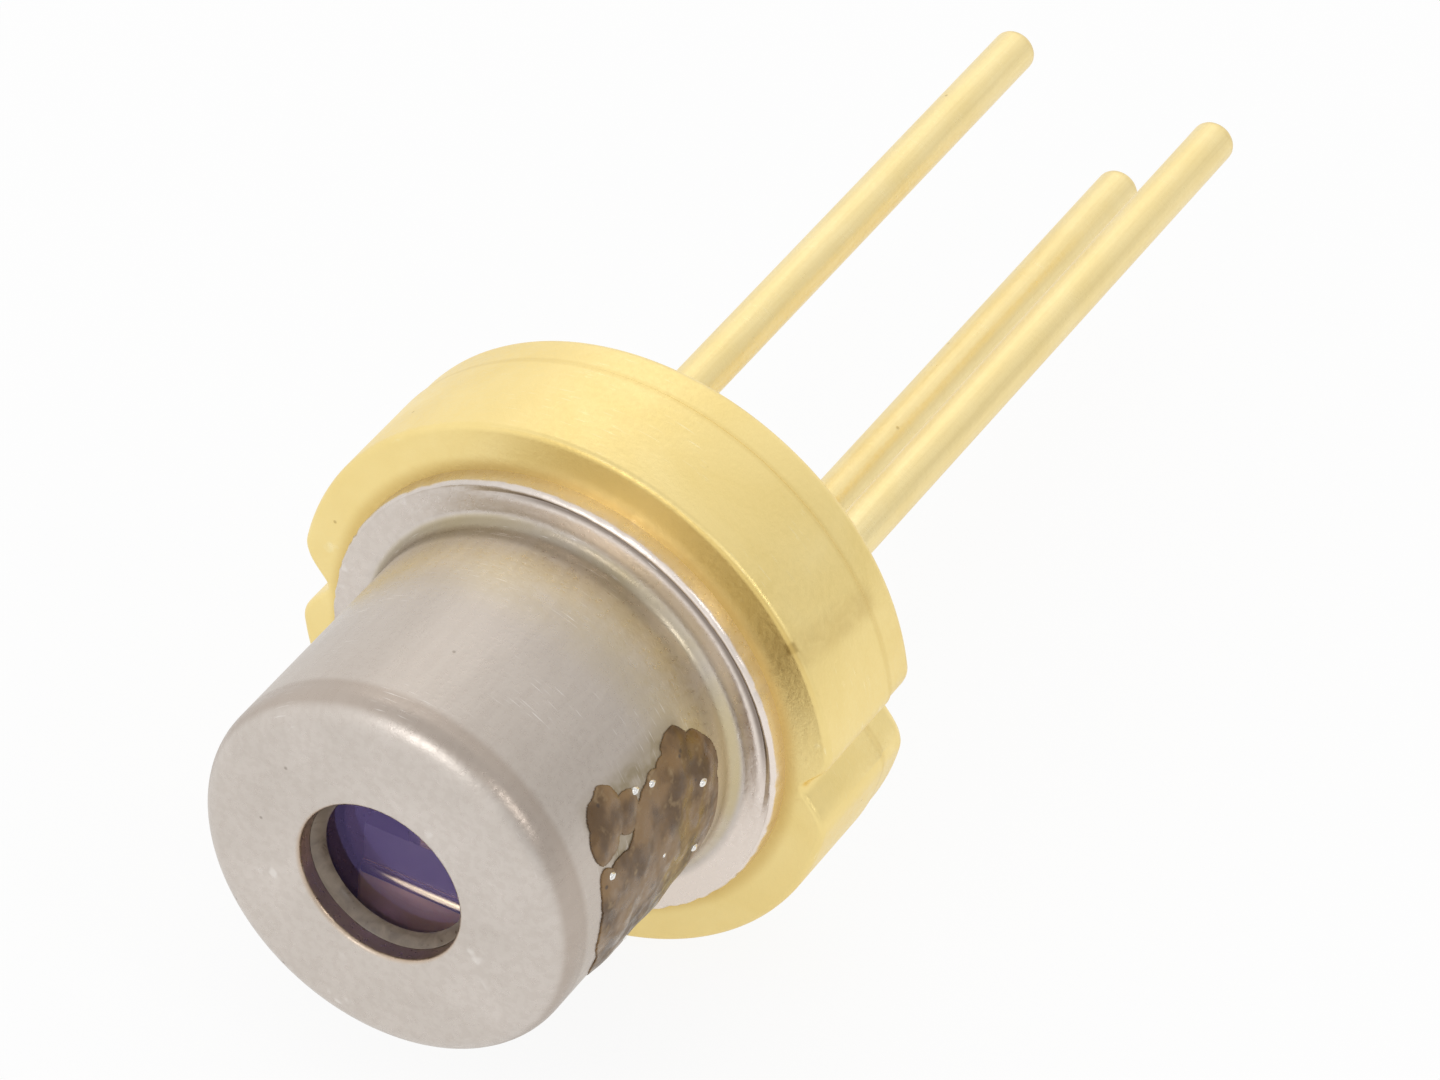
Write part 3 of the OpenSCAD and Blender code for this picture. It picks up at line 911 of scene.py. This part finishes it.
def cap_material():
    """Satin nickel, stained round the residue; near the flange a yellow band is heat tint and
    painted reflection, painted shade darkens parts of the barrel and flange, and a painted
    highlight lightens the flange.
    """
    material, tree, shader, at = new_material("satin nickel", Metallic=1.0)
    place = use(tree, "place", Vector=at)
    along, radius, clock = [place.outputs[n] for n in ("Along", "Radius", "Clock")]
    grain = use(tree, "grain", Vector=at, Scale=24.0)
    cloud = use(tree, "mottle", Vector=at, Scale=1.7, Contrast=1.7)
    marks = use(tree, "rubs", Vector=at, Scale=5.0, Amount=0.7)
    specks = use(tree, "pits", Vector=at, Scale=6.0, Size=0.10, Share=0.10)
    # Faint lines of the press tool run along the drawn barrel
    drawn = put(tree, "ShaderNodeMapping", Vector=at, Scale=(1, 0.12, 1))
    lines = put(tree, "ShaderNodeTexNoise", Vector=drawn.outputs[0], Scale=16.0,
                Detail=3.0, Roughness=0.55)
    streak = spread(tree, lines.outputs["Fac"], 0.42, 0.60)
    tone = mix_colour(tree, cloud.outputs["Tone"], srgb(202, 193, 184),
                      srgb(220, 211, 203))
    # Painted shade: the front part of the barrel is darker.
    barrel_shade = use(tree, "band", Value=along, From=-1.85, To=-0.75, Blur=0.25)
    side = use(tree, "band", Value=radius, From=BARREL_R - 0.02, To=BARREL_R + 0.02,
               Blur=0.06)
    tone = mix_colour(tree, maths(tree, "MULTIPLY", maths(
        tree, "MULTIPLY", barrel_shade.outputs["Mask"], side.outputs["Mask"]), 0.55), tone,
        srgb(186, 174, 162))
    tone = mix_colour(tree, maths(tree, "MULTIPLY", streak, 0.20), tone,
                      srgb(186, 174, 164))
    tone = mix_colour(tree, maths(tree, "MULTIPLY", grain.outputs["Tone"], 0.18), tone,
                      srgb(220, 212, 204))
    # A yellowish band on the barrel near the flange: heat tint, together with a painted
    # reflection of the gilded stem.
    heat = use(tree, "band", Value=along, From=-0.55, To=-0.14, Blur=0.45)
    wander = use(tree, "mottle", Vector=at, Scale=1.1, Contrast=2.4)
    heat_tint_and_reflection = maths(tree, "MULTIPLY", heat.outputs["Mask"], maths(
        tree, "MULTIPLY", wander.outputs["Tone"], 0.85))
    on_barrel = use(tree, "band", Value=radius, From=BARREL_R - 0.02, To=BARREL_R + 0.04,
                    Blur=0.04)
    heat_tint_and_reflection = maths(tree, "MULTIPLY", heat_tint_and_reflection, on_barrel.outputs["Mask"])
    tone = mix_colour(tree, heat_tint_and_reflection, tone, srgb(204, 188, 146))
    # Painted shade: a darker band round the barrel just behind the front corner.
    corner_shade = use(tree, "band", Value=along, From=0.10 - CAP_H, To=0.24 - CAP_H, Blur=0.07)
    tone = mix_colour(tree, maths(tree, "MULTIPLY", maths(
        tree, "MULTIPLY", corner_shade.outputs["Mask"], side.outputs["Mask"]), 0.55), tone,
        srgb(168, 152, 138))
    # The flange is painted lighter as a highlight, most of all on its right side, and painted
    # shade darkens its root
    flat = use(tree, "band", Value=radius, From=BARREL_R + 0.12, To=FLANGE_R + 0.1, Blur=0.06)
    behind = use(tree, "band", Value=along, From=-0.3, To=0.1, Blur=0.02)
    highlight_side = use(tree, "band", Value=clock, From=-70, To=75, Blur=40)
    # Painted highlight: the flange's flat is lighter, strongest from -70 to 75 degrees round.
    highlight_patch = maths(tree, "MULTIPLY", flat.outputs["Mask"], behind.outputs["Mask"])
    highlight_patch = maths(tree, "MULTIPLY", highlight_patch, spread(
        tree, highlight_side.outputs["Mask"], 0, 1, 0.15, 1.0))
    tone = mix_colour(tree, maths(tree, "MULTIPLY", highlight_patch, 0.85), tone,
                      srgb(248, 236, 226))
    # Painted shade: the root of the flange is darker on its upper side.
    root = use(tree, "band", Value=radius, From=BARREL_R - 0.01, To=BARREL_R + 0.03, Blur=0.04)
    low = use(tree, "band", Value=along, From=-0.26, To=-0.15, Blur=0.08)
    root_shade_side = use(tree, "band", Value=clock, From=75, To=165, Blur=35)
    dull = maths(tree, "MULTIPLY", root.outputs["Mask"], low.outputs["Mask"])
    dull = maths(tree, "MULTIPLY", dull, root_shade_side.outputs["Mask"])
    tone = mix_colour(tree, maths(tree, "MULTIPLY", dull, 0.6), tone, srgb(140, 126, 100))
    main = stain(tree, clock, along, (-40, 20), (-1.45, -0.50), 9, 0.13)
    spur = stain(tree, clock, along, (19, 31), (-1.58, -0.62), 7, 0.12)
    ragged = use(tree, "mottle", Vector=at, Scale=4.5, Contrast=2.6)
    halo = maths(tree, "MULTIPLY", maths(tree, "MAXIMUM", main, spur), spread(
        tree, ragged.outputs["Tone"], 0.2, 0.8, 0.55, 1.0))
    tone = mix_colour(tree, maths(tree, "MULTIPLY", halo, 0.8), tone,
                      srgb(148, 134, 104))
    # Painted shade: the flange's groove is darker from 18 to 90 degrees round.
    groove = use(tree, "band", Value=radius, From=FLANGE_GROOVE_R - 0.012,
                 To=FLANGE_GROOVE_R + 0.012, Blur=0.03)
    shaded_groove_side = use(tree, "band", Value=clock, From=18, To=90, Blur=22)
    dark = maths(tree, "MULTIPLY", groove.outputs["Mask"], shaded_groove_side.outputs["Mask"])
    tone = mix_colour(tree, maths(tree, "MULTIPLY", dark, 0.85), tone,
                      srgb(120, 106, 96))
    bore = spread(tree, radius, APERTURE_R + 0.03, APERTURE_R)
    tone = mix_colour(tree, maths(tree, "MULTIPLY", bore, 0.8), tone,
                      srgb(196, 172, 146))
    tone = mix_colour(tree, marks.outputs["Mask"], tone, srgb(236, 230, 224))
    tone = mix_colour(tree, maths(tree, "MULTIPLY", specks.outputs["Mask"], 0.5), tone,
                      srgb(128, 116, 104))
    feed(tree, shader, "Base Color", tone)
    matt = maths(tree, "ADD", maths(tree, "MULTIPLY", grain.outputs["Tone"], 0.10), 0.27)
    matt = maths(tree, "ADD", matt, maths(tree, "MULTIPLY", halo, 0.14))
    feed(tree, shader, "Roughness", matt)
    height = maths(tree, "ADD", grain.outputs["Height"],
                   maths(tree, "MULTIPLY", streak, 0.12))
    height = maths(tree, "SUBTRACT", height, maths(tree, "MULTIPLY",
                                                   specks.outputs["Mask"], 0.5))
    bump(tree, shader, height, 0.30, 0.010)
    return material


def residue_material():
    """Flux that baked to a brown, blistered and glossy crust."""
    material, tree, shader, at = new_material(
        "baked flux", Metallic=0.0, IOR=1.52)
    fine = put(tree, "ShaderNodeTexNoise", Vector=at, Scale=9.0, Detail=3.0,
               Roughness=0.55)
    broad = put(tree, "ShaderNodeTexNoise", Vector=at, Scale=4.0, Detail=3.0,
                Roughness=0.5)
    tone = mix_colour(tree, spread(tree, broad.outputs["Fac"], 0.38, 0.62),
                      srgb(90, 64, 30), srgb(130, 98, 54))
    tone = mix_colour(tree, spread(tree, fine.outputs["Fac"], 0.56, 0.74, 0, 0.7), tone,
                      srgb(158, 134, 98))
    crumbs = use(tree, "pits", Vector=at, Scale=11.0, Size=0.22, Share=0.25)
    tone = mix_colour(tree, maths(tree, "MULTIPLY", crumbs.outputs["Mask"], 0.8), tone,
                      srgb(58, 40, 26))
    feed(tree, shader, "Base Color", tone)
    feed(tree, shader, "Roughness", spread(tree, fine.outputs["Fac"], 0.35, 0.65, 0.25,
                                           0.55))
    feed(tree, shader, "Coat Weight", spread(tree, broad.outputs["Fac"], 0.35, 0.6, 0.05,
                                             0.3))
    bump(tree, shader, fine.outputs["Fac"], 0.5, 0.008)
    return material


def window_material():
    """Glass whose anti-reflection coating looks violet."""
    material, tree, shader, at = new_material(
        "coated glass", Metallic=0.0, Transmission_Weight=1.0, IOR=1.75,
        Specular_Tint=(0.30, 0.15, 0.85, 1))
    smudge = use(tree, "mottle", Vector=at, Scale=2.2, Contrast=1.4)
    tone = mix_colour(tree, smudge.outputs["Tone"], srgb(244, 238, 244),
                      srgb(252, 246, 250))
    feed(tree, shader, "Base Color", tone)
    dust = use(tree, "pits", Vector=at, Scale=9.0, Size=0.07, Share=0.2)
    rough = maths(tree, "ADD", maths(tree, "MULTIPLY", smudge.outputs["Tone"], 0.03), 0.01)
    feed(tree, shader, "Roughness", maths(
        tree, "ADD", rough, maths(tree, "MULTIPLY", dust.outputs["Mask"], 0.3)))
    return material


def fired_glass_material(name, dark, light, rough=0.2):
    """Fired solder or sealing glass: cloudy, glossy and full of tiny bubbles."""
    material, tree, shader, at = new_material(name, Metallic=0.0, IOR=1.6)
    cloud = use(tree, "mottle", Vector=at, Scale=9.0, Contrast=2.2)
    bubbles = use(tree, "pits", Vector=at, Scale=22.0, Size=0.2, Share=0.35)
    tone = mix_colour(tree, cloud.outputs["Tone"], dark, light)
    tone = mix_colour(tree, maths(tree, "MULTIPLY", bubbles.outputs["Mask"], 0.5), tone,
                      dark)
    feed(tree, shader, "Base Color", tone)
    feed(tree, shader, "Roughness", maths(tree, "ADD", maths(
        tree, "MULTIPLY", cloud.outputs["Tone"], 0.2), rough))
    bump(tree, shader, bubbles.outputs["Mask"], 0.4, 0.004)
    return material


def metal_material(name, dark, light, grain_scale=30.0, rough=(0.25, 0.4), mottle=2.5):
    """A small metal part: uneven tone, fine grain and rubbed lines."""
    material, tree, shader, at = new_material(name, Metallic=1.0)
    grain = use(tree, "grain", Vector=at, Scale=grain_scale)
    cloud = use(tree, "mottle", Vector=at, Scale=mottle, Contrast=1.8)
    marks = use(tree, "rubs", Vector=at, Scale=7.0, Amount=0.5)
    tone = mix_colour(tree, cloud.outputs["Tone"], dark, light)
    tone = mix_colour(tree, maths(tree, "MULTIPLY", grain.outputs["Tone"], 0.25), tone,
                      light)
    tone = mix_colour(tree, marks.outputs["Mask"], tone, srgb(240, 226, 200))
    feed(tree, shader, "Base Color", tone)
    feed(tree, shader, "Roughness", maths(tree, "ADD", maths(
        tree, "MULTIPLY", grain.outputs["Tone"], rough[1] - rough[0]), rough[0]))
    bump(tree, shader, grain.outputs["Height"], 0.35, 0.008)
    return material


def ceramic_material():
    """Metallised ceramic: grey with a violet cast and a fine sintered grain."""
    material, tree, shader, at = new_material("metallised ceramic", Metallic=0.0, IOR=1.7)
    grain = use(tree, "grain", Vector=at, Scale=60.0)
    cloud = use(tree, "mottle", Vector=at, Scale=5.0, Contrast=1.5)
    tone = mix_colour(tree, grain.outputs["Tone"], srgb(96, 88, 118),
                      srgb(112, 102, 134))
    tone = mix_colour(tree, maths(tree, "MULTIPLY", cloud.outputs["Tone"], 0.3), tone,
                      srgb(126, 112, 128))
    feed(tree, shader, "Base Color", tone)
    feed(tree, shader, "Roughness", maths(tree, "ADD", maths(
        tree, "MULTIPLY", grain.outputs["Tone"], 0.2), 0.4))
    bump(tree, shader, grain.outputs["Height"], 0.3, 0.004)
    return material


def crystal_material(name, dark, light, stripe):
    """A polished chip: dark crystal with a lighter metal stripe along its top."""
    material, tree, shader, at = new_material(name, Metallic=0.6, IOR=3.0)
    split = put(tree, "ShaderNodeSeparateXYZ", Vector=at)
    contact = use(tree, "band", Value=split.outputs[0], From=-0.03, To=0.03, Blur=0.01)
    cloud = use(tree, "mottle", Vector=at, Scale=8.0, Contrast=1.6)
    tone = mix_colour(tree, cloud.outputs["Tone"], dark, light)
    tone = mix_colour(tree, maths(tree, "MULTIPLY", contact.outputs["Mask"], 0.7), tone,
                      stripe)
    feed(tree, shader, "Base Color", tone)
    feed(tree, shader, "Roughness", maths(tree, "ADD", maths(
        tree, "MULTIPLY", cloud.outputs["Tone"], 0.1), 0.08))
    return material


# --- Putting the pieces together ---------------------------------------------------------

def fit(piece, material, slot, *nodes):
    """Gives a piece its finish and lets it stand for the CAD nodes it redraws."""
    piece.data.materials.clear()
    piece.data.materials.append(material)
    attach(piece, "root")
    if nodes:
        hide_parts(*nodes)


def refinish(node, material):
    """Gives a CAD node a better material."""
    body = bpy.data.objects[node]
    for slot in body.material_slots:
        slot.material = material


gilt = stem_material()
gilt_wire = lead_material()
seal_glass = fired_glass_material("sealing glass", srgb(58, 66, 60), srgb(98, 108, 98))

fit(make_stem(), gilt, "gold_stem", "stem")
fit(make_cap(), cap_material(), "nickel_cap", "cap")
fit(make_window(), window_material(), "window_glass", "window")
fit(make_frit(), fired_glass_material("solder glass", srgb(100, 86, 74),
                                      srgb(142, 128, 112), 0.25), "solder_glass", "window_frit")
fit(make_laser_lead(), gilt_wire, "gold_lead", "laser_lead")
fit(make_lead("monitor_lead", "gilded_monitor_lead"), gilt_wire, "gold_lead",
    "monitor_lead")
fit(make_common_lead(), gilt_wire, "gold_lead", "common_lead")
fit(make_seal("laser_lead_seal", "laser_lead_glass"), seal_glass, "seal_glass",
    "laser_lead_seal")
fit(make_seal("monitor_lead_seal", "monitor_lead_glass"), seal_glass, "seal_glass",
    "monitor_lead_seal")
fit(make_residue(), residue_material(), "braze")

fit(make_heat_sink(), heat_sink_material(), "copper_sink", "heat_sink")
# Near-white, glossy beads: painted glints on the residue
fit(make_glint_beads(), metal_material("glint beads", srgb(226, 224, 220),
                                         srgb(250, 248, 244), rough=(0.08, 0.16)),
    "solder")
solder = metal_material("dull solder", srgb(92, 84, 92), srgb(128, 118, 122),
                        rough=(0.4, 0.55))
refinish("heat_sink_braze", metal_material("braze", srgb(190, 160, 96),
                                           srgb(220, 192, 128)))
refinish("common_lead_braze", bpy.data.materials["braze"])
refinish("submount", ceramic_material())
refinish("laser_chip", crystal_material("laser crystal", srgb(52, 48, 56),
                                        srgb(76, 70, 78), srgb(224, 190, 110)))
refinish("monitor_photodiode", crystal_material("silicon", srgb(34, 40, 66),
                                                srgb(60, 66, 96), srgb(90, 96, 130)))
for node in ("submount_solder", "chip_solder", "photodiode_solder"):
    refinish(node, solder)
bond = metal_material("bond wire", srgb(226, 184, 96), srgb(246, 214, 134), 60.0,
                      (0.16, 0.26))
for node in ("chip_wire", "submount_wire", "photodiode_wire"):
    refinish(node, bond)


# --- Floor, light and camera -------------------------------------------------------------

def background_rays(tree):
    """1 for rays that show the background: seen directly, mirrored or through glass."""
    path = tree.nodes.new("ShaderNodeLightPath")
    seen = maths(tree, "MAXIMUM", path.outputs["Is Camera Ray"],
                 path.outputs["Is Glossy Ray"])
    return maths(tree, "MAXIMUM", seen, path.outputs["Is Transmission Ray"])


def make_floor():
    """A plain white sheet under the object that keeps a soft shadow."""
    clear_selection()
    bpy.ops.mesh.primitive_plane_add(size=1.2, location=(0, 0, cad_box[0][2]))
    floor = bpy.context.object
    floor.name = "floor_sheet"
    material = bpy.data.materials.new("white sheet")
    material.use_nodes = True
    tree = material.node_tree
    paper = tree.nodes["Principled BSDF"]
    paper.inputs["Roughness"].default_value = 0.9
    paper.inputs["Base Color"].default_value = (0.9, 0.9, 0.9, 1)
    glow = put(tree, "ShaderNodeEmission", Color=(1, 1, 1, 1), Strength=1.0)
    path = tree.nodes.new("ShaderNodeLightPath")
    share = maths(tree, "MULTIPLY", background_rays(tree), 0.60)
    share = maths(tree, "ADD", share, maths(tree, "MULTIPLY", path.outputs["Is Camera Ray"],
                                            0.30))
    blend = put(tree, "ShaderNodeMixShader", Fac=share)
    tree.links.new(paper.outputs[0], blend.inputs[1])
    tree.links.new(glow.outputs[0], blend.inputs[2])
    tree.links.new(blend.outputs[0], tree.nodes["Material Output"].inputs["Surface"])
    floor.data.materials.append(material)


def light_world():
    """White room: brightest overhead, a little duller to the sides for reflections."""
    world = bpy.data.worlds.new("white room")
    bpy.context.scene.world = world
    world.use_nodes = True
    tree = world.node_tree
    shell = tree.nodes["Background"]
    path = tree.nodes.new("ShaderNodeLightPath")
    place = tree.nodes.new("ShaderNodeTexCoord")
    split = put(tree, "ShaderNodeSeparateXYZ", Vector=place.outputs["Generated"])
    height = spread(tree, split.outputs[2], 0.70, 1.0, 1.0, 0.80)
    side = spread(tree, split.outputs[0], 0.0, 0.9, 1.0, 0.70)
    tone = maths(tree, "MULTIPLY", height, side)
    tone = maths(tree, "MAXIMUM", tone, path.outputs["Is Camera Ray"])
    shell.inputs["Color"].default_value = (1, 1, 1, 1)
    tree.links.new(tone, shell.inputs["Strength"])


def add_softbox(name, place, size, radiance, colour=(1, 1, 1)):
    """A square area lamp that faces the object, of a given brightness to look into."""
    lamp = bpy.data.lights.new(name, "AREA")
    lamp.shape = "SQUARE"
    lamp.size = size * MM
    lamp.color = colour
    lamp.energy = math.pi * radiance * (size * MM) ** 2
    holder = bpy.data.objects.new(name, lamp)
    bpy.context.collection.objects.link(holder)
    holder.location = Vector(place) * MM
    aim = (Vector((0, 1.0, 0)) - Vector(place)).to_track_quat("-Z", "Y")
    holder.rotation_euler = aim.to_euler()
    holder.visible_camera = False


AIM = Vector((0.52, 0.97, 0.75))


def add_camera():
    """The viewing angle: 27.2 degrees to the right of the beam, 40 above it, rolled 4.2."""
    azimuth, elevation, roll = math.radians(27.2), math.radians(39.95), math.radians(4.2)
    distance = 49.9
    back = Vector((math.sin(azimuth) * math.cos(elevation),
                   -math.cos(azimuth) * math.cos(elevation), math.sin(elevation)))
    right = Vector((math.cos(azimuth), math.sin(azimuth), 0))
    up = back.cross(right)
    level_right, level_up = right.copy(), up.copy()
    right = math.cos(roll) * level_right + math.sin(roll) * level_up
    up = math.cos(roll) * level_up - math.sin(roll) * level_right
    data = bpy.data.cameras.new("camera")
    data.sensor_width = 36
    data.lens = 202.9
    data.clip_start = 0.001
    data.clip_end = 10
    camera = bpy.data.objects.new("camera", data)
    bpy.context.collection.objects.link(camera)
    turn = Matrix((right, up, back)).transposed().to_4x4()
    camera.matrix_world = Matrix.Translation((AIM + distance * back) * MM) @ turn
    bpy.context.scene.camera = camera


make_floor()
light_world()
add_softbox("front_softbox", (-6, -54, 42), 26, 1.6)
add_softbox("side_softbox", (50, -14, 40), 16, 3.0)
add_softbox("rear_softbox", (-26, 48, 46), 40, 0.25)
add_camera()
bpy.context.scene.view_settings.view_transform = "Standard"
